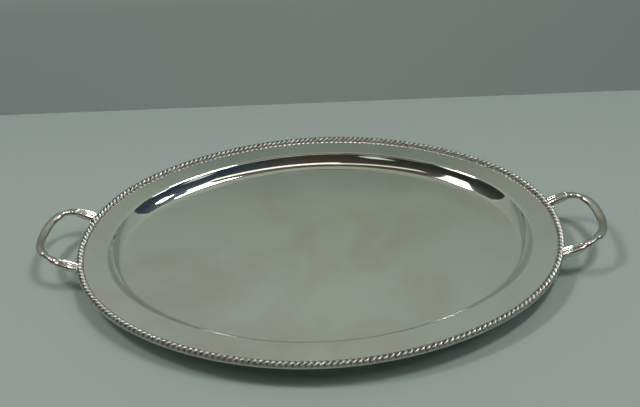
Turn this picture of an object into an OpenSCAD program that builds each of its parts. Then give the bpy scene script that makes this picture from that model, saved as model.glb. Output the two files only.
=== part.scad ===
/* [Tray] */
// Length over the border, without the handles
tray_l = 480; // [465:5:510]
// Width over the border
tray_w = 350; // [340:5:365]
// Thickness of the pressed sheet
sheet_t = 1; // [0.8:0.1:1.2]

/* [Rim and well] */
// Border's outer edge to the start of the shoulder
rim_w = 28.5; // [24:0.5:32]
// Depth of the well below the rim
well_d = 12; // [11:0.2:13]
// Radius of the shoulder between the rim and the side of the well
shoulder_r = 3.5; // [3:0.5:4.5]
// Radius of the hollow side of the well
wall_r = 30; // [26:1:36]
// Radius of the corner between the side of the well and its floor
corner_r = 6.5; // [5:0.5:8]

/* [Border] */
// Width of the rope bead
bead_w = 7; // [6:0.2:8]
// Thickness of the plain lip below the bead
lip_t = 1.3; // [1:0.1:1.6]
// Drop of the lip below the rim's upper face
lip_drop = 1.8; // [1.2:0.2:3]
// Place of the border's butt seam, in degrees left of the middle of the front
seam_a = 25.5; // [5:0.5:33]
// Slant of the seam to the line of the border
seam_slant = 35; // [30:1:60]

/* [Handles] */
// Distance between the two roots of a handle, centre to centre
root_span = 79; // [74:1:84]
// Reach of the grip's centre line past the border
grip_reach = 36.8; // [34:0.2:40]
// Width of the flattened grip
grip_w = 9; // [8:0.2:10]
// Thickness of the grip
grip_t = 7; // [6:0.2:8]
// Width of the neck between leaf and grip
neck_w = 5.6; // [5:0.2:6.4]
// Width of the leaf where it leaves the root
leaf_w = 12; // [10:0.2:13]
// Thickness of the leaf
leaf_t = 8; // [6:0.2:8.6]
// Width of each root block along the border
root_w = 15; // [13:0.5:18]

/* [Foot ring] */
// Height of the ring that the tray stands on
foot_h = 10.2; // [8:0.2:12]
// Border's outer edge to the ring's outer face
foot_inset = 47; // [46:0.5:52]
// Thickness of the ring's upright wall
foot_wall = 1.5; // [1.2:0.1:2]

/* [Solder] */
// Thickness of the solder in every joint
solder_t = 0.3; // [0.2:0.05:0.4]

/* [Hidden] */
$fn = 96;

half_l = tray_l / 2;
half_w = tray_w / 2;

// Oval of four tangent arcs, set out on a 3-4-5 triangle: the centres of the ends lie 3 units
// to each side, those of the long sides 4 units to the front and back, and the radii differ by 5
unit = (half_l - half_w) / 2;
end_x = 3 * unit;
side_y = 4 * unit;
end_r = half_l - end_x;
side_r = end_r + 5 * unit;
sweep_fn = 360;
far = 100;

// Heights above the table
floor_h = foot_h + solder_t + sheet_t;
rim_h = floor_h + well_d;
lip_h = rim_h - lip_drop;

// Well: shoulder, hollow side and corner, each an arc that meets the next without a break. The
// sheet is tilted by steep_a from shoulder to side and by gentle_a from side to corner.
gentle_a = 40;
steep_a = acos((shoulder_r + wall_r * cos(gentle_a) + corner_r * (1 - cos(gentle_a)) - well_d)
               / (shoulder_r + wall_r));
shoulder_c = [-rim_w, rim_h - shoulder_r];
wall_c = shoulder_c + (shoulder_r + wall_r) * [-sin(steep_a), cos(steep_a)];
corner_c = wall_c + (wall_r - corner_r) * [sin(gentle_a), -cos(gentle_a)];
floor_edge = -corner_c[0];
floor_join = ceil(floor_edge) + 2;
bend_steps = 7;

// Upper face of the sheet from the rim to the floor, as [point, tilt]
sheet_line = concat(
    [for (i = [0 : bend_steps]) let (a = steep_a * i / bend_steps)
        [shoulder_c + shoulder_r * normal(a), a]],
    [for (i = [1 : bend_steps]) let (a = steep_a + (gentle_a - steep_a) * i / bend_steps)
        [wall_c - wall_r * normal(a), a]],
    [for (i = [1 : bend_steps]) let (a = gentle_a * (1 - i / bend_steps))
        [corner_c - corner_r * normal(a), a]]);

// Border and solder
bead_r = bead_w / 2;
seat_h = rim_h + solder_t;
pan_inset = lip_t + solder_t;
cut_l = 30;
cut_h = 40;

// Foot ring: how far its flange and its standing edge pass the wall, and their thickness
flange_out = 1.5;
flange_t = 1;
base_out = 1;
base_t = 1.6;

// Handles: stations of the centre line as [past the border, to one side, up]
root_t = 2.6;
root_top = rim_h + 2;
root_a = asin((root_span / 2) / (end_r + solder_t + root_t));
root_w_a = root_w / end_r * 180 / PI;
path_root = [-9, root_span / 2, rim_h + 0.6];
path_leaf = [8, root_span / 2 + 0.5, rim_h + 7.4];
path_neck = [17.5, root_span / 2 - 2.6, rim_h + 11];
path_grip = [25.5, root_span / 2 - 8.6, rim_h + 11.9];
path_bow = [33, root_span / 2 - 20.5, rim_h + 10.8];
path_mid = [grip_reach, 0, rim_h + 8.3];
path = [path_root, path_leaf, path_neck, path_grip, path_bow, path_mid, mirror_y(path_bow),
        mirror_y(path_grip), mirror_y(path_neck), mirror_y(path_leaf), mirror_y(path_root)];
steps = 6;
ring_sides = 16;

// Width and height of the section at each station, root to middle
section_sizes = [[leaf_w, leaf_t - 1], [leaf_w, leaf_t], [neck_w, neck_w],
                 [grip_w - 0.8, grip_t - 0.4], [grip_w, grip_t], [grip_w, grip_t]];
sections = [for (i = [0 : len(path) - 1]) section_sizes[min(i, len(path) - 1 - i)]];

silver = [0.80, 0.82, 0.80];
silver_dark = [0.70, 0.72, 0.71];
solder_grey = [0.55, 0.57, 0.58];

// Upward normal of the sheet where it is tilted by angle a towards the middle
function normal(a) = [-sin(a), cos(a)];

function mirror_y(p) = [p[0], -p[1], p[2]];

// Point at share u between b and c on the smooth curve through a, b, c, d
function spline(a, b, c, d, u) =
    0.5 * (2 * b + (c - a) * u + (2 * a - 5 * b + 4 * c - d) * u * u
           + (3 * b - a - 3 * c + d) * u * u * u);

function at(list, i) = list[max(0, min(len(list) - 1, i))];

function smooth(list) = [
    for (i = [0 : len(list) - 2])
        for (j = [0 : steps - (i == len(list) - 2 ? 0 : 1)])
            spline(at(list, i - 1), at(list, i), at(list, i + 1), at(list, i + 2), j / steps)
];

// Ring of points round centre c, square to direction t, size [across, up]
function ring(c, t, size) =
    let (out = cross(t, [0, 0, 1]) / norm(cross(t, [0, 0, 1])), up = cross(out, t) / norm(t))
    [for (k = [0 : ring_sides - 1])
        c + out * size[0] / 2 * cos(360 * k / ring_sides)
          + up * size[1] / 2 * sin(360 * k / ring_sides)];

// Region inside the oval, inset from the border's outer edge
module oval(inset) {
    for (side = [-1, 1])
        translate([side * end_x, 0])
            circle(r = end_r - inset, $fn = sweep_fn);
    intersection() {
        translate([0, -side_y])
            circle(r = side_r - inset, $fn = sweep_fn);
        translate([0, side_y])
            circle(r = side_r - inset, $fn = sweep_fn);
        square([2 * (end_x + (end_r - inset) * 3 / 5), tray_w], center = true);
    }
}

// One arc of the oval: the section turned about the centre, kept between the two lines from
// there along reach_a and reach_b
module arc(centre, radius, reach_a, reach_b) {
    intersection() {
        translate(centre)
            rotate_extrude($fn = sweep_fn)
                translate([radius, 0])
                    children();
        linear_extrude(cut_h)
            polygon([centre, centre + far * reach_a, centre + far * reach_b]);
    }
}

// Sweeps a section round the oval. The section has x = 0 on the border's outer edge, x < 0
// towards the middle of the tray, and y up.
module oval_sweep() {
    arc([end_x, 0], end_r, [3, -4], [3, 4])
        children();
    arc([0, -side_y], side_r, [3, 4], [-3, 4])
        children();
    arc([-end_x, 0], end_r, [-3, 4], [-3, -4])
        children();
    arc([0, side_y], side_r, [-3, -4], [3, -4])
        children();
}

// Rim, shoulder, side of the well and the edge of its floor
module pan_section() {
    last = len(sheet_line) - 1;
    polygon(concat(
        [[-pan_inset, rim_h]],
        [for (p = sheet_line) p[0]],
        [[-floor_join, floor_h], [-floor_join, floor_h - sheet_t]],
        [for (i = [last : -1 : 0]) sheet_line[i][0] - sheet_t * normal(sheet_line[i][1])],
        [[-pan_inset, rim_h - sheet_t]]));
}

// Film under the bead and behind the lip
module border_solder_section() {
    translate([-bead_w, rim_h])
        square([bead_w - lip_t, solder_t]);
    translate([-pan_inset, rim_h - sheet_t])
        square([solder_t, sheet_t]);
}

// Half-round bead on top of the rim and the plain lip that covers the rim's edge
module border_section() {
    intersection() {
        translate([-bead_r, seat_h])
            circle(r = bead_r);
        translate([-bead_w, seat_h])
            square([bead_w, bead_w]);
    }
    translate([-lip_t, lip_h])
        square([lip_t, seat_h - lip_h]);
}

// Thin slab on the seam, slanted like the lobes of the rope
module seam_slab() {
    translate([0, side_y, 0])
        rotate([0, 0, -90 - seam_a])
            translate([side_r - bead_r, 0, cut_h / 2])
                rotate([0, 0, -seam_slant])
                    cube([cut_l, solder_t, cut_h], center = true);
}

// Upright wall between a flange against the pan and a thicker edge on the table
module foot_section() {
    translate([-foot_inset - foot_wall - flange_out, foot_h - flange_t])
        square([foot_wall + 2 * flange_out, flange_t]);
    translate([-foot_inset - foot_wall, 0])
        square([foot_wall, foot_h]);
    translate([-foot_inset - foot_wall - base_out, 0])
        square([foot_wall + 2 * base_out, base_t]);
}

// Block against the lip that carries one root of a handle
module root(side) {
    translate([end_x, 0, lip_h])
        rotate_extrude(start = side * root_a - root_w_a / 2, angle = root_w_a, $fn = sweep_fn)
            translate([end_r - root_t, 0])
                square([2 * root_t + solder_t, root_top - lip_h]);
}

// Leaf, neck and grip in one smooth bow from root to root
module bow() {
    centres = smooth([for (p = path) [half_l + p[0], p[1], p[2]]]);
    sizes = smooth(sections);
    last = len(centres) - 1;
    points = [for (i = [0 : last])
        each ring(centres[i], at(centres, i + 1) - at(centres, i - 1), sizes[i])];
    polyhedron(points, concat(
        [[for (k = [ring_sides - 1 : -1 : 0]) k]],
        [for (i = [0 : last - 1]) for (k = [0 : ring_sides - 1])
            let (n = (k + 1) % ring_sides)
            [i * ring_sides + k, i * ring_sides + n,
             (i + 1) * ring_sides + n, (i + 1) * ring_sides + k]],
        [[for (k = [0 : ring_sides - 1]) last * ring_sides + k]]));
}

// Cast handle for the +X end
module handle() {
    difference() {
        union() {
            bow();
            for (side = [-1, 1])
                root(side);
        }
        translate([end_x, 0, 0])
            cylinder(r = end_r + solder_t, h = cut_h, $fn = sweep_fn);
    }
}

// Film of solder between a root and the lip, up to the lip's top
module root_solder(side) {
    color(solder_grey)
        translate([end_x, 0, lip_h])
            rotate_extrude(start = side * root_a - root_w_a / 2, angle = root_w_a, $fn = sweep_fn)
                translate([end_r, 0])
                    square([solder_t, seat_h - lip_h]);
}

module tray_pan() {
    color(silver) {
        oval_sweep()
            pan_section();
        translate([0, 0, floor_h - sheet_t])
            linear_extrude(sheet_t)
                oval(floor_join);
    }
}

module rope_border() {
    color(silver_dark)
        difference() {
            oval_sweep()
                border_section();
            seam_slab();
        }
}

module handle_right() {
    color(silver)
        handle();
}

module handle_left() {
    color(silver)
        mirror([1, 0, 0])
            handle();
}

module solder_right_front() {
    root_solder(-1);
}

module solder_right_back() {
    root_solder(1);
}

module solder_left_front() {
    mirror([1, 0, 0])
        root_solder(-1);
}

module solder_left_back() {
    mirror([1, 0, 0])
        root_solder(1);
}

// Solder between the rim and the border: under the bead and behind the lip
module border_solder() {
    color(solder_grey)
        oval_sweep()
            border_solder_section();
}

module seam_solder() {
    color(solder_grey)
        intersection() {
            oval_sweep()
                border_section();
            seam_slab();
        }
}

module foot_ring() {
    color(silver)
        oval_sweep()
            foot_section();
}

// Solder between the ring's flange and the underside of the pan
module foot_solder() {
    color(solder_grey)
        oval_sweep()
            translate([-foot_inset - foot_wall - flange_out, foot_h])
                square([foot_wall + 2 * flange_out, solder_t]);
}

tray_pan();
rope_border();
handle_left();
handle_right();
solder_left_front();
solder_left_back();
solder_right_front();
solder_right_back();
border_solder();
seam_solder();
foot_ring();
foot_solder();
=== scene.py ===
"""Oval silver-plated serving tray with a rope border and two cast bow handles."""
import math

import bmesh
import bpy
import numpy as np
from mathutils import Matrix, Vector


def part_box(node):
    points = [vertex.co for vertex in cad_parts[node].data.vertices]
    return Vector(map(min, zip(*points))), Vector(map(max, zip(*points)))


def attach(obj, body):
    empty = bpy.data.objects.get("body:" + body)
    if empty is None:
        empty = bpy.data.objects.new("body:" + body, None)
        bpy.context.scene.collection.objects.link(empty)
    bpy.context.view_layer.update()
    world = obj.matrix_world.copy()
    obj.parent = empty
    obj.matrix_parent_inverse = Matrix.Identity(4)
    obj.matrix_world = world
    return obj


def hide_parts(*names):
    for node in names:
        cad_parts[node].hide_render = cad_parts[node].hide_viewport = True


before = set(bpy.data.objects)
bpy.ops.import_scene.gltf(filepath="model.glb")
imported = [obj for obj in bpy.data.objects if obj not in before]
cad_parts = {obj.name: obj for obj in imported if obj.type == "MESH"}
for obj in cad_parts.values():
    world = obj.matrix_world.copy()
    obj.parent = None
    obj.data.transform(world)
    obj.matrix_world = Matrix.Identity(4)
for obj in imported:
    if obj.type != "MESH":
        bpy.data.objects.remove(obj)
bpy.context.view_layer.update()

MM = 0.001

# ---------------------------------------------------------------- sizes, from the parts in model.glb
border_low, border_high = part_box("rope_border")
pan_low, pan_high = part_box("tray_pan")
foot_low, foot_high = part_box("foot_ring")
HALF_L = border_high.x
HALF_W = border_high.y
LIP_Z = border_low.z
RIM_Z = pan_high.z
PAN_LOW = pan_low.z
FOOT_H = foot_high.z

# Sheet and pan: the side of the well is a shoulder arc, a hollow arc and, from GENTLE down, a corner arc.
# The mesh of the flat rim ends RIM_END before the shoulder, which keeps the shading of the rim flat.
SHEET = 1.0 * MM
FLOOR_Z = PAN_LOW + SHEET
RIM_W = 28.5 * MM
RIM_END = 0.5 * MM
SHOULDER_R = 3.5 * MM
WALL_R = 30.0 * MM
CORNER_R = 6.5 * MM
GENTLE = math.radians(40.0)
# Border: a half-round bead on the rim and a lip over its edge, both on a film of solder
SOLDER = 0.3 * MM
SEAT_Z = RIM_Z + SOLDER
BEAD_R = 3.5 * MM
LIP_T = 1.3 * MM


# ---------------------------------------------------------------- small helpers
def smoothstep(x):
    x = np.clip(x, 0.0, 1.0)
    return x * x * (3.0 - 2.0 * x)


def new_mesh(name, points, faces, material, smooth=True):
    """Makes an object from a point list and a face list."""
    mesh = bpy.data.meshes.new(name)
    mesh.from_pydata([tuple(p) for p in points], [], faces)
    mesh.validate()
    mesh.update()
    mesh.materials.append(material)
    if smooth:
        mesh.polygons.foreach_set("use_smooth", [True] * len(mesh.polygons))
    piece = bpy.data.objects.new(name, mesh)
    bpy.context.scene.collection.objects.link(piece)
    return piece


def grid_faces(rows, columns, wrap_rows=False, wrap_columns=False):
    """Quads of a grid whose point (row, column) is number row * columns + column."""
    faces = []
    for i in range(rows if wrap_rows else rows - 1):
        a = i * columns
        b = (i + 1) % rows * columns
        for j in range(columns if wrap_columns else columns - 1):
            k = (j + 1) % columns
            faces.append((a + j, b + j, b + k, a + k))
    return faces


# ---------------------------------------------------------------- the oval
# Four arcs on a 3-4-5 triangle, whose radii are eased into each other over EASE each side of a joint.
# The curve is worked out by the angle t of its outward normal.
JOINT = math.atan2(4.0, 3.0)
EASE = math.radians(20.0)


def oval(count):
    """Points on the border's outer edge at equal steps of length, their outward normals, length."""
    fine = 20000
    t = np.linspace(0.0, 2.0 * np.pi, fine + 1)
    folded = np.abs((t + np.pi / 2) % np.pi - np.pi / 2)
    share = smoothstep((folded - JOINT + EASE) / (2.0 * EASE))
    step = t[1] - t[0]
    quarter = t <= np.pi / 2
    along_x = np.sum((share * np.sin(t))[quarter]) * step
    along_y = np.sum((share * np.cos(t))[quarter]) * step
    gain = (HALF_L - HALF_W) / (along_x - along_y)
    radius = HALF_L - gain * along_x + gain * share
    mid = 0.5 * (radius[1:] + radius[:-1])
    t_mid = 0.5 * (t[1:] + t[:-1])
    x = np.concatenate([[0.0], np.cumsum(-mid * np.sin(t_mid) * step)]) + HALF_L
    y = np.concatenate([[0.0], np.cumsum(mid * np.cos(t_mid) * step)])
    length = np.concatenate([[0.0], np.cumsum(mid * step)])
    at = np.linspace(0.0, length[-1], count, endpoint=False)
    t_at = np.interp(at, length, t)
    points = np.stack([np.interp(at, length, x), np.interp(at, length, y)], 1)
    normals = np.stack([np.cos(t_at), np.sin(t_at)], 1)
    return points, normals, length[-1]


def closed_sweep(name, section, count, material):
    """Sweeps a closed section of (inset, height) points round the oval."""
    edge, out, _ = oval(count)
    grid = np.stack([np.column_stack([edge - out * w, np.full(count, z)]) for w, z in section])
    faces = grid_faces(len(section), count, wrap_rows=True, wrap_columns=True)
    return new_mesh(name, grid.reshape(-1, 3), faces, material)


CORNER_SHARE = 0.45


def rounded(corners, radius, steps=5):
    """Closed section with each corner of a polygon rounded, over at most CORNER_SHARE of a side."""
    section = []
    corners = [np.array(c) for c in corners]
    for i, corner in enumerate(corners):
        before = corners[i - 1] - corner
        after = corners[(i + 1) % len(corners)] - corner
        reach = min(radius, CORNER_SHARE * np.hypot(*before), CORNER_SHARE * np.hypot(*after))
        a = corner + before / np.hypot(*before) * reach
        b = corner + after / np.hypot(*after) * reach
        for u in np.linspace(0.0, 1.0, steps):
            section.append((1 - u) ** 2 * a + 2 * u * (1 - u) * corner + u * u * b)
    return section


# ---------------------------------------------------------------- tray pan
def pan_profile():
    """Upper face of the pan as (inset, height, tilt), from the rim's edge to the floor."""
    depth = RIM_Z - FLOOR_Z
    steep = math.acos((SHOULDER_R + WALL_R * math.cos(GENTLE) + CORNER_R * (1 - math.cos(GENTLE)) - depth)
                      / (SHOULDER_R + WALL_R))
    rows = [(w, RIM_Z, 0.0) for w in np.linspace(LIP_T + SOLDER, RIM_W - RIM_END, 18)]
    for a in np.linspace(0.0, steep, 22):
        rows.append((RIM_W + SHOULDER_R * math.sin(a), RIM_Z - SHOULDER_R * (1 - math.cos(a)), a))
    for radius, start, end, count in ((WALL_R, steep, GENTLE, 18), (CORNER_R, GENTLE, 0.0, 18)):
        w, z, _ = rows[-1]
        for a in np.linspace(start, end, count)[1:]:
            rows.append((w + radius * (math.sin(start) - math.sin(a)),
                         z - radius * (math.cos(a) - math.cos(start)), a))
    return rows


def build_pan(material):
    """Upper and under face of the sheet, closed by its cut edge under the border's lip."""
    count = 960
    floor_rings = 24
    edge, out, _ = oval(count)
    rows = pan_profile()
    floor_edge = rows[-1][0]
    points = []
    faces = []
    for side, thick, level in ((1, 0.0, FLOOR_Z), (-1, SHEET, FLOOR_Z - SHEET)):
        base = len(points)
        rings = [np.column_stack([edge - out * (w - thick * math.sin(a)),
                                  np.full(count, z - thick * math.cos(a))]) for w, z, a in rows]
        inner = edge - out * floor_edge
        for k in range(1, floor_rings):
            rings.append(np.column_stack([inner * (1.0 - k / floor_rings), np.full(count, level)]))
        points += [tuple(p) for p in np.concatenate(rings)] + [(0.0, 0.0, level)]
        centre = len(points) - 1
        last = centre - count
        skin = grid_faces(len(rings), count, wrap_columns=True)
        skin = [tuple(base + i for i in f[::-side]) for f in skin]
        skin += [(last + j, last + (j + 1) % count, centre)[::side] for j in range(count)]
        faces += skin
    base = len(points) // 2
    faces += [(j, base + j, base + (j + 1) % count, (j + 1) % count) for j in range(count)]
    return new_mesh("pressed_pan", points, faces, material)


# ---------------------------------------------------------------- rope border
LOBES = 240
PER_LOBE = 16
GROOVE = 1.6 * MM
# Spread of the cut's depth from lobe to lobe, and the deepest cut, as shares of GROOVE
UNEVEN = 0.12
DEEPEST = 1.1
# Shift of a groove along the border for each millimetre round the bead
SLANT = -0.45
# Place of the butt seam, in degrees left of the middle of the front
SEAM_ANGLE = 25.5
SEAM_GAP = 0.3 * MM
LIP_ROUND = 0.35 * MM


def border_section():
    """Closed section as (inset, height, groove share, distance from the crest, angle on the bead)."""
    section = []
    for a in np.linspace(0.0, math.pi, 25):
        share = math.sin(a) ** 0.5 if 0.0 < a < math.pi else 0.0
        section.append((BEAD_R - BEAD_R * math.cos(a), SEAT_Z + BEAD_R * math.sin(a), share,
                        BEAD_R * (math.pi / 2 - a), a))
    lip = [(LIP_T, SEAT_Z), (LIP_T, LIP_Z + LIP_ROUND), (LIP_T - LIP_ROUND, LIP_Z), (LIP_ROUND, LIP_Z),
           (0.0, LIP_Z + LIP_ROUND), (0.0, SEAT_Z - LIP_ROUND)]
    section += [(w, z, 0.0, BEAD_R * math.pi / 2, None) for w, z in lip]
    return section


def seam_length(edge, length):
    """Distance along the edge to the border's seam, left of the middle of the front."""
    angle = math.radians(-90.0 - SEAM_ANGLE)
    centre_y = 2.0 * (HALF_L - HALF_W)
    radius = HALF_W + centre_y
    seam = np.array([radius * math.cos(angle), centre_y + radius * math.sin(angle)])
    nearest = np.argmin(np.hypot(*(edge - seam).T))
    return length * nearest / len(edge)


def border_strip(name, s, depth_at, material):
    """Strip of border over the distances s from the seam; depth_at gives the depth of cut at each."""
    edge, out, length = oval(40 * LOBES)
    at = np.arange(len(edge) + 1) * (length / len(edge))
    edge_x = np.append(edge[:, 0], edge[0, 0])
    edge_y = np.append(edge[:, 1], edge[0, 1])
    angle = np.unwrap(np.arctan2(out[:, 1], out[:, 0]))
    angle = np.append(angle, angle[0] + 2.0 * np.pi)
    seam_at = seam_length(edge, length)
    columns = []
    grooves = []
    for w, z, share, along, a in border_section():
        place = np.mod(s + seam_at + SLANT * along, length)
        t = np.interp(place, at, angle)
        inset = np.full(len(s), w)
        height = np.full(len(s), z)
        if a is not None:
            depth = share * depth_at
            inset = inset + depth * math.cos(a)
            height = height - depth * math.sin(a)
        columns.append(np.stack([np.interp(place, at, edge_x) - np.cos(t) * inset,
                                 np.interp(place, at, edge_y) - np.sin(t) * inset, height], 1))
        grooves.append(share * depth_at / GROOVE)
    grid = np.stack(columns, 1)
    rows, cols = grid.shape[:2]
    faces = grid_faces(rows, cols, wrap_columns=True)
    faces.append(tuple(range(cols)))
    faces.append(tuple((rows - 1) * cols + j for j in reversed(range(cols))))
    piece = new_mesh(name, grid.reshape(-1, 3), faces, material)
    tone = piece.data.attributes.new("groove", "FLOAT", "POINT")
    tone.data.foreach_set("value", np.stack(grooves, 1).ravel())
    return piece


def build_border(material):
    """The strip from one side of the seam all round to the other, a row of lobes with grooves between."""
    length = oval(2000)[2]
    count = LOBES * PER_LOBE + 1
    s = np.linspace(SEAM_GAP / 2, length - SEAM_GAP / 2, count)
    from_crest = np.abs(2.0 * (np.arange(count) % PER_LOBE / PER_LOBE) - 1.0)
    dip = 0.9 * from_crest + 0.1 * from_crest ** 6
    lobe_starts = PER_LOBE * np.arange(LOBES + 2)
    spread = np.random.default_rng(7).standard_normal(LOBES + 2)
    uneven = 1.0 + UNEVEN * np.interp(np.arange(count), lobe_starts, spread)
    return border_strip("rope_border_strip", s, GROOVE * np.clip(dip * uneven, 0.0, DEEPEST), material)


def build_seam(material):
    """The dull line of solder in the seam, about as deep as a groove."""
    s = np.linspace(-SEAM_GAP / 2, SEAM_GAP / 2, 3)
    return border_strip("seam_joint", s, np.array([1.0, 1.05, 1.0]) * GROOVE, material)


# ---------------------------------------------------------------- handles
ROOT_Y = 39.5 * MM
REACH = 36.8 * MM
ROOT_W = 15.0 * MM
ROOT_T = 2.6 * MM
ROOT_RISE = 2.0 * MM
# Exponent that squares the pad's section, its least thickness and height as shares, depth of the scallops
ROOT_SQUARE = 0.45
ROOT_THIN = 0.12
ROOT_LOW = 0.25
SCALLOP = 0.22
ROOT_TAPER = 0.45
# Stations of a leg, in mm: out from the border's end, along it from the root, up from the rim
LEG = [(-9.0, 0.0, 0.6), (8.0, 0.5, 7.4), (17.5, -2.6, 11.0), (25.5, -8.6, 11.9), (33.0, -20.5, 10.8)]
MIDDLE_RISE = 8.3 * MM
STEP = 0.5 * MM
AROUND = 56
# Distance from the border, width and thickness, in mm: leaf, knuckle, neck, notch and grip
FORM = [(0.0, 10.6, 6.2), (6.0, 11.8, 7.4), (10.0, 11.6, 8.0), (16.0, 10.4, 7.6), (20.0, 8.6, 6.6),
        (22.0, 7.0, 5.6), (23.5, 8.0, 6.6), (25.5, 8.2, 6.7), (27.0, 6.6, 5.7), (31.0, 5.6, 5.2),
        (35.0, 5.8, 5.4), (37.0, 6.6, 5.8), (38.0, 8.4, 6.5), (42.0, 8.6, 6.6), (55.0, 9.0, 7.0),
        (90.0, 9.0, 7.0)]
LEAF_END = 22.0 * MM
LEAF_FADE = 4.0 * MM
LEAF_SQUARE = 0.3
# How far the leaf's end runs in past the border's outer edge
LEAF_RUN = 1.5 * MM
# Flutes along the leaf: depth, place across and width, the last two as shares of the half width
FLUTE = 1.5 * MM
FLUTE_AT = 0.40
FLUTE_W = 0.15
# The grip's top slopes down from its middle line by RIDGE
GRIP_START = 38.5 * MM
GRIP_FADE = 3.0 * MM
RIDGE = 0.45 * MM
RIDGE_FLAT = 0.1


def handle_seat():
    """Centre and radius of the border's end at the handle roots."""
    edge, out, _ = oval(4000)
    root = np.argmin(np.abs(edge[:, 1] - ROOT_Y) + (edge[:, 0] < 0.0))
    slope = out[root]
    radius = edge[root, 1] / slope[1]
    return edge[root, 0] - slope[0] * radius, radius


def handle_path():
    """Points of the centre line from the back root to the front root, at equal steps."""
    leg = [np.array([HALF_L + x * MM, ROOT_Y + y * MM, RIM_Z + z * MM]) for x, y, z in LEG]
    middle = [np.array([HALF_L + REACH, 0.0, RIM_Z + MIDDLE_RISE])]
    stations = leg + middle + [p * (1, -1, 1) for p in leg[::-1]]
    # A Catmull-Rom curve through the stations
    line = []
    for i in range(len(stations) - 1):
        a, b, c, d = (stations[max(0, min(len(stations) - 1, i + k))] for k in (-1, 0, 1, 2))
        for u in np.linspace(0.0, 1.0, 40, endpoint=False):
            line.append(0.5 * (2 * b + (c - a) * u + (2 * a - 5 * b + 4 * c - d) * u * u
                               + (3 * b - a - 3 * c + d) * u ** 3))
    line = np.array(line + [stations[-1]])
    middle_x, end_r = handle_seat()
    line = line[np.hypot(line[:, 0] - middle_x, line[:, 1]) > end_r - LEAF_RUN]
    run = np.concatenate([[0.0], np.cumsum(np.linalg.norm(np.diff(line, axis=0), axis=1))])
    at = np.linspace(0.0, run[-1], int(run[-1] / STEP))
    return np.stack([np.interp(at, run, line[:, k]) for k in range(3)], 1), at


def bow_mesh():
    """Points and faces of the right-hand bow, from one leaf over the grip to the other."""
    line, at = handle_path()
    total = at[-1]
    near = np.minimum(at, total - at)
    form = np.array(FORM) * MM
    width = np.interp(near, form[:, 0], form[:, 1])
    thick = np.interp(near, form[:, 0], form[:, 2])
    soften = np.array([1.0, 2.0, 1.0]) / 4.0
    width[1:-1] = np.convolve(width, soften, "valid")
    thick[1:-1] = np.convolve(thick, soften, "valid")
    leaf = smoothstep((LEAF_END - near) / LEAF_FADE)
    grip = smoothstep((near - GRIP_START) / GRIP_FADE)
    tangent = np.gradient(line, axis=0)
    tangent /= np.linalg.norm(tangent, axis=1)[:, None]
    across = np.cross(tangent, (0.0, 0.0, 1.0))
    across /= np.linalg.norm(across, axis=1)[:, None]
    up = np.cross(across, tangent)
    theta = np.linspace(0.0, 2.0 * np.pi, AROUND, endpoint=False)
    cos = np.cos(theta)
    sin = np.sin(theta)
    top = np.clip(sin, 0, 1)
    points = []
    for i in range(len(line)):
        flute = FLUTE * leaf[i] * np.exp(-((np.abs(cos) - FLUTE_AT) / FLUTE_W) ** 2) * top
        ridge = RIDGE * grip[i] * (np.abs(cos) - RIDGE_FLAT) * top
        square = np.sign(sin) * np.abs(sin) ** (1.0 - LEAF_SQUARE * leaf[i])
        x = cos * width[i] / 2
        z = square * thick[i] / 2 - flute - ridge
        points.append(line[i] + across[i] * x[:, None] + up[i] * z[:, None])
    grid = np.concatenate(points)
    faces = grid_faces(len(line), AROUND, wrap_columns=True)
    faces.append(tuple(range(AROUND)))
    faces.append(tuple((len(line) - 1) * AROUND + j for j in reversed(range(AROUND))))
    return grid, faces


def root_mesh(side):
    """Pad against the lip under one end of the bow, scalloped into a middle lobe and two ears."""
    centre_x, radius = handle_seat()
    middle = math.asin(ROOT_Y / (radius + SOLDER + ROOT_T)) * side
    low, high = LIP_Z, RIM_Z + ROOT_RISE
    stations = 41
    ring = 28
    theta = np.linspace(0.0, 2.0 * np.pi, ring, endpoint=False)
    box_x = np.sign(np.cos(theta)) * np.abs(np.cos(theta)) ** ROOT_SQUARE
    box_z = np.sign(np.sin(theta)) * np.abs(np.sin(theta)) ** ROOT_SQUARE
    points = []
    for u in np.linspace(-1.0, 1.0, stations):
        turn = middle + u * ROOT_W / 2 / radius
        scallops = 1.0 - SCALLOP + SCALLOP * math.cos(3.0 * math.pi * u)
        swell = math.sqrt(max(0.0, 1.0 - abs(u) ** 4)) * scallops
        deep = ROOT_T * max(ROOT_THIN, swell)
        tall = (high - low) * max(ROOT_LOW, 1.0 - ROOT_TAPER * abs(u) ** 3) / 2
        r = radius + SOLDER + deep / 2 * (1.0 + box_x)
        z = low + tall * (1.0 + box_z)
        points.append(np.column_stack([centre_x + r * math.cos(turn), r * math.sin(turn), z]))
    faces = grid_faces(stations, ring, wrap_columns=True)
    faces.append(tuple(range(ring)))
    faces.append(tuple((stations - 1) * ring + j for j in reversed(range(ring))))
    return np.concatenate(points), faces


def build_handle(name, side, material):
    """Bow and roots as one casting; side is 1 for the right handle and -1 for its mirror image."""
    points = np.zeros((0, 3))
    faces = []
    for part, part_faces in (bow_mesh(), root_mesh(-1), root_mesh(1)):
        faces += [tuple(i + len(points) for i in f) for f in part_faces]
        points = np.concatenate([points, part])
    if side < 0:
        points = points * (-1, 1, 1)
        faces = [f[::-1] for f in faces]
    piece = new_mesh(name, points, faces, material)
    shell = bmesh.new()
    shell.from_mesh(piece.data)
    bmesh.ops.recalc_face_normals(shell, faces=shell.faces)
    shell.to_mesh(piece.data)
    shell.free()
    return piece


# ---------------------------------------------------------------- foot ring
FOOT_INSET = 47.0 * MM
FOOT_WALL = 1.5 * MM
# Base and flange stand out on both sides of the wall
BASE_OUT = 1.0 * MM
BASE_T = 1.6 * MM
FLANGE_OUT = 1.5 * MM
FLANGE_T = 1.0 * MM
FOOT_SLOPE = 0.8 * MM
FOOT_ROUND = 0.5 * MM


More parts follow.
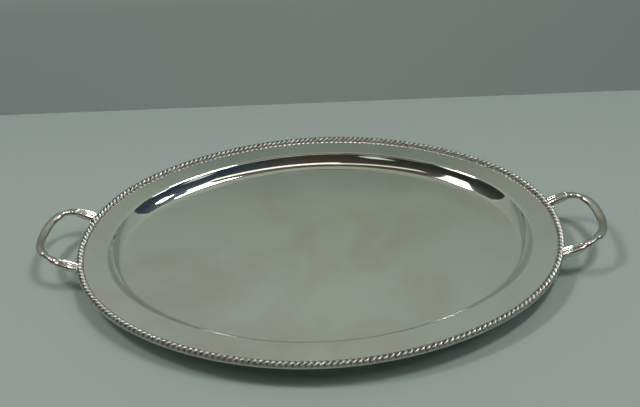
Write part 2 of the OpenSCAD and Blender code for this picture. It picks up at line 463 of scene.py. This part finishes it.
def build_foot(material):
    """Upright ring with a wider base to stand on and a flange under the pan."""
    mid = FOOT_INSET + FOOT_WALL / 2
    low = foot_low.z
    half = [(FOOT_WALL / 2 + BASE_OUT, low), (FOOT_WALL / 2 + BASE_OUT, low + BASE_T),
            (FOOT_WALL / 2, low + BASE_T + FOOT_SLOPE), (FOOT_WALL / 2, FOOT_H - FLANGE_T - FOOT_SLOPE),
            (FOOT_WALL / 2 + FLANGE_OUT, FOOT_H - FLANGE_T), (FOOT_WALL / 2 + FLANGE_OUT, FOOT_H)]
    corners = [(mid + w, z) for w, z in half] + [(mid - w, z) for w, z in half[::-1]]
    return closed_sweep("collet_foot", rounded(corners, FOOT_ROUND), 720, material)


# ---------------------------------------------------------------- materials
BLACK = (0.0, 0.0, 0.0)
WHITE = (1.0, 1.0, 1.0)


def link(tree, a, b):
    tree.links.new(a, b)


def node(tree, kind, **values):
    """Adds a node; each value is a setting of the node or, with _ for a blank, one of its inputs."""
    made = tree.nodes.new(kind)
    for key, value in values.items():
        if hasattr(made, key):
            setattr(made, key, value)
        else:
            made.inputs[key.replace("_", " ")].default_value = value
    return made


def ramp(tree, source, stops):
    """Colour ramp on a source socket, from (place, colour) stops."""
    made = tree.nodes.new("ShaderNodeValToRGB")
    elements = made.color_ramp.elements
    for i, (place, colour) in enumerate(stops):
        element = elements[i] if i < 2 else elements.new(place)
        element.position = place
        element.color = (*colour, 1.0)
    link(tree, source, made.inputs["Fac"])
    return made.outputs["Color"]


def fit_range(tree, source, low, high, new_low, new_high):
    """Stretches a source socket's values from low..high to new_low..new_high."""
    made = node(tree, "ShaderNodeMapRange", From_Min=low, From_Max=high, To_Min=new_low, To_Max=new_high)
    link(tree, source, made.inputs["Value"])
    return made.outputs["Result"]


def metal(name):
    """New material of polished metal: the material, its node tree and its shader."""
    material = bpy.data.materials.new(name)
    material.use_nodes = True
    tree = material.node_tree
    shader = tree.nodes["Principled BSDF"]
    shader.inputs["Metallic"].default_value = 1.0
    return material, tree, shader


# Tint of the yellowed patches of the plate, as shares of its colour
YELLOWED = (0.94, 0.90, 0.87)
# The roughness of a well polished patch grows by this factor where the plate is worn
WORN = 1.8
HAZE_ROUGHNESS = 0.45
# Wiping scratches: noise stretched along one direction
WIPE_SCALE = (60.0, 1400.0, 400.0)
WIPE_TURN = 0.35


def silver(name, colour, roughness, wave, scratch, haze, groove_shade=None, groove_shade_share=0.0):
    """Silver plate, polished, with soft waves in the metal, wiping scratches and haze.

    wave and scratch are heights in metres, haze is the share of dull metal. With a colour for the grooves,
    the rope's grooves get painted shade of that colour, up to the given share where the cut is deepest.
    """
    material, tree, shader = metal(name)
    place = node(tree, "ShaderNodeTexCoord").outputs["Object"]

    patches = node(tree, "ShaderNodeTexNoise", Scale=11.0, Detail=5.0, Roughness=0.55, Distortion=0.8)
    link(tree, place, patches.inputs["Vector"])
    fine = node(tree, "ShaderNodeTexNoise", Scale=90.0, Detail=5.0, Roughness=0.7)
    link(tree, place, fine.inputs["Vector"])
    stretch = node(tree, "ShaderNodeMapping")
    stretch.inputs["Scale"].default_value = WIPE_SCALE
    stretch.inputs["Rotation"].default_value = (0.0, 0.0, WIPE_TURN)
    link(tree, place, stretch.inputs["Vector"])
    lines = node(tree, "ShaderNodeTexNoise", Scale=1.0, Detail=3.0, Roughness=0.6)
    link(tree, stretch.outputs["Vector"], lines.inputs["Vector"])

    warm = tuple(share * c for share, c in zip(YELLOWED, colour))
    tone = ramp(tree, patches.outputs["Fac"], [(0.36, warm), (0.56, colour)])
    # Painted shade in the rope's grooves: the deeper the cut, the more of the dark colour.
    if groove_shade is not None:
        groove = node(tree, "ShaderNodeAttribute", attribute_name="groove")
        dark = ramp(tree, groove.outputs["Fac"], [(0.18, BLACK), (0.55, (groove_shade_share,) * 3)])
        # Inputs 0, 6 and 7 and output 2 are the colour sockets of a mix node
        mix = node(tree, "ShaderNodeMix", data_type="RGBA")
        link(tree, dark, mix.inputs[0])
        link(tree, tone, mix.inputs[6])
        mix.inputs[7].default_value = (*groove_shade, 1.0)
        tone = mix.outputs[2]
    link(tree, tone, shader.inputs["Base Color"])

    rough = fit_range(tree, fine.outputs["Fac"], 0.35, 0.70, roughness, WORN * roughness)
    link(tree, rough, shader.inputs["Roughness"])

    soft = node(tree, "ShaderNodeTexNoise", Scale=9.0, Detail=1.0, Roughness=0.4)
    link(tree, place, soft.inputs["Vector"])
    waves = node(tree, "ShaderNodeBump", Strength=1.0, Distance=wave)
    link(tree, soft.outputs["Fac"], waves.inputs["Height"])
    marks = node(tree, "ShaderNodeBump", Strength=1.0, Distance=scratch)
    link(tree, lines.outputs["Fac"], marks.inputs["Height"])
    link(tree, waves.outputs["Normal"], marks.inputs["Normal"])
    link(tree, marks.outputs["Normal"], shader.inputs["Normal"])

    dull = node(tree, "ShaderNodeBsdfPrincipled")
    dull.inputs["Metallic"].default_value = 1.0
    dull.inputs["Base Color"].default_value = (*colour, 1.0)
    dull.inputs["Roughness"].default_value = HAZE_ROUGHNESS
    blend = node(tree, "ShaderNodeMixShader")
    amount = fit_range(tree, patches.outputs["Fac"], 0.30, 0.70, 0.5 * haze, 1.5 * haze)
    link(tree, amount, blend.inputs[0])
    link(tree, shader.outputs[0], blend.inputs[1])
    link(tree, dull.outputs[0], blend.inputs[2])
    link(tree, blend.outputs[0], tree.nodes["Material Output"].inputs["Surface"])
    return material


def solder_metal(name):
    """Dull, grainy grey metal."""
    material, tree, shader = metal(name)
    place = node(tree, "ShaderNodeTexCoord").outputs["Object"]
    grain = node(tree, "ShaderNodeTexNoise", Scale=700.0, Detail=4.0)
    link(tree, place, grain.inputs["Vector"])
    link(tree, ramp(tree, grain.outputs["Fac"], [(0.3, (0.22, 0.21, 0.18)), (0.7, (0.42, 0.41, 0.37))]),
         shader.inputs["Base Color"])
    shader.inputs["Roughness"].default_value = 0.5
    bump = node(tree, "ShaderNodeBump", Strength=0.5, Distance=0.2 * MM)
    link(tree, grain.outputs["Fac"], bump.inputs["Height"])
    link(tree, bump.outputs["Normal"], shader.inputs["Normal"])
    return material


# Pan, border and handles are one silver plate; the border and the handles have darker colours, painted shade
# that dims their highlights.
pan_silver = silver("pan_silver", (0.91, 0.93, 0.88), 0.04, 0.22 * MM, 0.003 * MM, 0.06)
# The dark colour and share at the end of this call are painted shade for the rope's grooves.
border_silver = silver("border_silver", (0.62, 0.62, 0.585), 0.30, 0.0, 0.0, 0.12, (0.11, 0.10, 0.085), 0.85)
handle_silver = silver("handle_silver", (0.66, 0.64, 0.57), 0.15, 0.4 * MM, 0.001 * MM, 0.1)
foot_silver = silver("foot_silver", (0.80, 0.80, 0.75), 0.15, 0.1 * MM, 0.002 * MM, 0.2)
solder_grey = solder_metal("solder_grey")

PIECES = [(build_pan(pan_silver), "tray_pan", "pan"),
          (build_border(border_silver), "rope_border", "border"),
          (build_seam(solder_grey), "seam_solder", "solder"),
          (build_handle("cast_bow_left", -1, handle_silver), "handle_left", "handle"),
          (build_handle("cast_bow_right", 1, handle_silver), "handle_right", "handle"),
          (build_foot(foot_silver), "foot_ring", "foot")]
for piece, cad_node, slot_name in PIECES:
    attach(piece, "root")
    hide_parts(cad_node)
for name in ("solder_left_front", "solder_left_back", "solder_right_front", "solder_right_back",
             "border_solder", "foot_solder"):
    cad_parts[name].data.materials.clear()
    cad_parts[name].data.materials.append(solder_grey)


# ---------------------------------------------------------------- stage
STAGE_HALF = 3.0
FLOOR_COLOUR = (0.385, 0.452, 0.418)
FLOOR_ROUGHNESS = 0.75
# The backdrop stands close behind the tray and leans back to WALL_TOP_Y at its top
WALL_Y = 0.293
WALL_TOP = 2.4
WALL_TOP_Y = 0.50
# Its painted light by share of its height, darker near the floor and brightest near the top, and its painted
# light changing from left to right over WALL_FADE each side of the middle
BACKDROP = [(0.0, (0.155, 0.185, 0.170)), (0.055, (0.160, 0.192, 0.175)), (0.08, (0.230, 0.258, 0.215)),
            (0.15, (0.272, 0.300, 0.265)), (0.55, (0.285, 0.310, 0.270)), (0.85, (0.40, 0.40, 0.31)),
            (0.95, (0.75, 0.72, 0.50))]
SIDES = [(0.0, (1.0, 0.97, 1.03)), (0.5, (1.03, 1.04, 1.0)), (1.0, (0.90, 0.92, 0.95))]
WALL_FADE = 0.45


def floor_paint():
    """Matt pale grey-green."""
    material = bpy.data.materials.new("floor_paint")
    material.use_nodes = True
    shader = material.node_tree.nodes["Principled BSDF"]
    shader.inputs["Base Color"].default_value = (*FLOOR_COLOUR, 1.0)
    shader.inputs["Roughness"].default_value = FLOOR_ROUGHNESS
    return material


def backdrop_paint():
    """Pale paper in painted light, as if lit from above: its glow grows with height and changes from left to
    right. From behind it can be looked through.
    """
    material = bpy.data.materials.new("backdrop_paint")
    material.use_nodes = True
    tree = material.node_tree
    place = node(tree, "ShaderNodeTexCoord").outputs["Object"]
    parts = node(tree, "ShaderNodeSeparateXYZ")
    link(tree, place, parts.inputs[0])
    level = fit_range(tree, parts.outputs["Z"], 0.0, WALL_TOP, 0.0, 1.0)
    side = fit_range(tree, parts.outputs["X"], -WALL_FADE, WALL_FADE, 0.0, 1.0)
    shade = node(tree, "ShaderNodeMix", data_type="RGBA", blend_type="MULTIPLY")
    shade.inputs[0].default_value = 1.0
    # Painted light: the glow by height times the change from left to right.
    link(tree, ramp(tree, level, BACKDROP), shade.inputs[6])
    link(tree, ramp(tree, side, SIDES), shade.inputs[7])
    glow = node(tree, "ShaderNodeEmission")
    link(tree, shade.outputs[2], glow.inputs["Color"])
    reverse = node(tree, "ShaderNodeNewGeometry").outputs["Backfacing"]
    clear = node(tree, "ShaderNodeBsdfTransparent")
    one_sided = node(tree, "ShaderNodeMixShader")
    link(tree, reverse, one_sided.inputs[0])
    link(tree, glow.outputs[0], one_sided.inputs[1])
    link(tree, clear.outputs[0], one_sided.inputs[2])
    link(tree, one_sided.outputs[0], tree.nodes["Material Output"].inputs["Surface"])
    return material


floor = new_mesh("floor", [(-STAGE_HALF, -STAGE_HALF, 0), (STAGE_HALF, -STAGE_HALF, 0),
                           (STAGE_HALF, STAGE_HALF, 0), (-STAGE_HALF, STAGE_HALF, 0)],
                 [(0, 1, 2, 3)], floor_paint(), smooth=False)
wall = new_mesh("backdrop", [(-STAGE_HALF, WALL_Y, 0), (STAGE_HALF, WALL_Y, 0),
                             (STAGE_HALF, WALL_TOP_Y, WALL_TOP), (-STAGE_HALF, WALL_TOP_Y, WALL_TOP)],
                [(0, 1, 2, 3)], backdrop_paint(), smooth=False)


# ---------------------------------------------------------------- world and light
ROOM = [(0.15, (0.008, 0.013, 0.009)), (0.5, (0.034, 0.024, 0.014)),
        (0.72, (0.010, 0.026, 0.040)), (0.95, (0.006, 0.014, 0.030))]


def build_world():
    """Dark room round the tray: greenish to the left, brown in the middle and blue to the right."""
    world = bpy.data.worlds.new("studio")
    bpy.context.scene.world = world
    world.use_nodes = True
    tree = world.node_tree
    place = node(tree, "ShaderNodeTexCoord").outputs["Generated"]
    parts = node(tree, "ShaderNodeSeparateXYZ")
    link(tree, place, parts.inputs[0])
    side = fit_range(tree, parts.outputs["X"], -1.0, 1.0, 0.0, 1.0)
    link(tree, ramp(tree, side, ROOM), tree.nodes["Background"].inputs["Color"])


CEILING = 2.0
CREAM = (1.0, 0.97, 0.85)
DEEP_CREAM = (1.0, 0.97, 0.80)
CYAN = (0.9, 1.0, 1.0)
# Name, place x and y, size x and y (all for each metre of height), turn in degrees, watts, colour.
# The two small cores cast the crisp shadow under the front rim; the wide dim panels show in the metal.
PANELS = [("light_left_core", (-0.53, -0.01), (0.18, 0.12), 42.0, 12.0, WHITE),
          ("light_left", (-0.78, -0.29), (0.75, 0.26), 42.0, 6.0, WHITE),
          ("light_middle_core", (0.30, -0.06), (0.26, 0.14), 45.0, 12.5, WHITE),
          ("light_middle_a", (0.42, -0.25), (0.16, 0.44), 45.0, 1.8, WHITE),
          ("light_middle_b", (0.20, -0.55), (0.7, 0.14), 0.0, 1.6, CREAM),
          ("light_middle_c", (-0.35, -0.50), (0.5, 0.10), 0.0, 0.55, DEEP_CREAM),
          ("light_right", (0.98, -0.27), (0.3, 0.2), 0.0, 6.0, WHITE),
          ("light_far_left", (-0.73, -1.67), (0.3, 0.5), 0.0, 1.5, CYAN),
          ("light_far_right", (1.48, -1.48), (0.5, 0.4), 0.0, 1.5, WHITE)]


def build_panel(name, place, size, turn, power, colour):
    """Rectangle of light on the ceiling, facing straight down."""
    data = bpy.data.lights.new(name, "AREA")
    data.shape = "RECTANGLE"
    data.size = size[0] * CEILING
    data.size_y = size[1] * CEILING
    data.energy = power
    data.color = colour
    lamp = bpy.data.objects.new(name, data)
    lamp.matrix_world = (Matrix.Translation((place[0] * CEILING, place[1] * CEILING, CEILING))
                         @ Matrix.Rotation(math.radians(turn), 4, "Z"))
    bpy.context.scene.collection.objects.link(lamp)


build_world()
for row in PANELS:
    build_panel(*row)


# ---------------------------------------------------------------- camera
LENS_MM = 50.625
SENSOR_MM = 36.0
ELEVATION = math.radians(37.3527)
ROLL = math.radians(4.1923)
YAW = math.radians(-3.6993)
# Offsets of the camera in half lengths of the tray: sideways, up across its view, and back along it
SIDE = 0.0178
LIFT = 0.1855
DISTANCE = 3.7678
# The point that the camera is placed from lies this far under the rim
EYE_BASE = 16.5 * MM


def make_camera():
    place = Vector((SIDE, LIFT * math.sin(ELEVATION) - DISTANCE * math.cos(ELEVATION),
                    LIFT * math.cos(ELEVATION) + DISTANCE * math.sin(ELEVATION))) * HALF_L
    right = Vector((1, 0, 0))
    up = Vector((0, math.sin(ELEVATION), math.cos(ELEVATION)))
    back = Vector((0, -math.cos(ELEVATION), math.sin(ELEVATION)))
    level_right = math.cos(ROLL) * right - math.sin(ROLL) * up
    level_up = math.sin(ROLL) * right + math.cos(ROLL) * up
    pose = Matrix((level_right, level_up, back)).transposed().to_4x4()
    data = bpy.data.cameras.new("camera")
    data.sensor_width = SENSOR_MM
    data.lens = LENS_MM
    camera = bpy.data.objects.new("camera", data)
    camera.matrix_world = (Matrix.Translation((0, 0, RIM_Z - EYE_BASE)) @ Matrix.Rotation(-YAW, 4, "Z")
                           @ Matrix.Translation(place) @ pose)
    bpy.context.scene.collection.objects.link(camera)
    bpy.context.scene.camera = camera


make_camera()
bpy.context.scene.view_settings.view_transform = "Standard"
